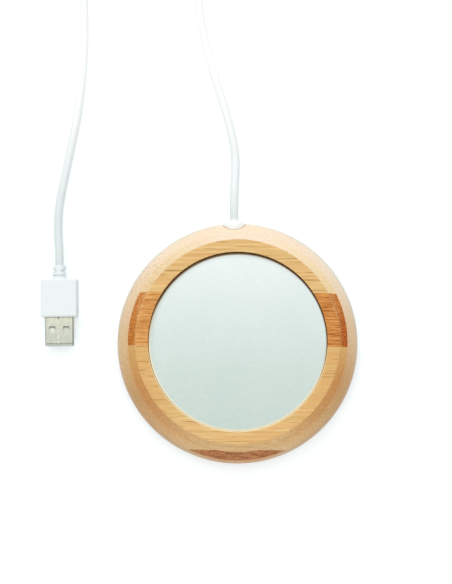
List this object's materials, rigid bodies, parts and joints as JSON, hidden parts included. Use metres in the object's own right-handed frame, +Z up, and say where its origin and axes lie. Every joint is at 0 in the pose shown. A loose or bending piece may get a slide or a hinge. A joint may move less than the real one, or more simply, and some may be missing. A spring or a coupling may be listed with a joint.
{
  "type": "mug warmer",
  "caption": "Round bamboo mug warmer with a recessed satin aluminium warming plate, and a white cord that ends in a USB-A plug.",
  "frame": {"origin": "centre of the casing's underside, on the surface that the feet stand on", "axes": "+Z up, out of the warming plate; +Y towards the side where the cord leaves; +X to the right, along the casing's grain"},
  "size_m": [0.1344, 0.2584, 0.02],
  "materials": {
    "bamboo": "laminated bamboo, satin oiled",
    "plate_aluminium": "fine satin, pale",
    "silicone": "matte",
    "heater_polyimide": "smooth amber film",
    "heater_foil": "etched foil",
    "insulation_felt": "pressed ceramic fibre",
    "carrier_plastic": "heat-resistant moulding",
    "cutout_steel": "bright stamped case",
    "wire_red": "insulated wire",
    "wire_black": "insulated wire",
    "sleeve_black": "shrunk sleeve",
    "cover_plastic": "finely spark-eroded moulding",
    "screw_steel": "zinc plated",
    "foot_rubber": "matte",
    "white_pvc": "soft satin white",
    "plug_steel": "nickel plated",
    "plug_insulator": "hard white",
    "contact_gold": "gold flash"
  },
  "bodies": {
    "root": {"bamboo_casing": "bamboo", "warming_plate": "plate_aluminium", "plate_seal_ring": "silicone", "heater_film": "heater_polyimide", "heater_track": "heater_foil", "heater_backing": "heater_polyimide", "insulation_pad": "insulation_felt", "heater_carrier": "carrier_plastic", "thermal_cutout": "cutout_steel", "cutout_leads": "wire_red", "heater_lead": "wire_black", "conductor_red": "wire_red", "conductor_black": "wire_black", "splice_sleeves": "sleeve_black", "bottom_cover": "cover_plastic", "cover_screws": "screw_steel", "foot_right": "foot_rubber", "foot_back": "foot_rubber", "foot_left": "foot_rubber", "foot_front": "foot_rubber", "cord_bush": "white_pvc", "cord_inner_end": "white_pvc", "cable_clamp": "cover_plastic", "clamp_screws": "screw_steel", "plug_shell": "plug_steel", "plug_tongue": "plug_insulator", "plug_contacts": "contact_gold", "plug_conductors": "wire_red", "plug_inner_mould": "plug_insulator", "plug_overmould": "white_pvc", "plug_cord_end": "white_pvc", "cord_casing_run": "white_pvc", "cord_plug_run": "white_pvc", "cord_coil": "white_pvc"}
  },
  "joints": []
}
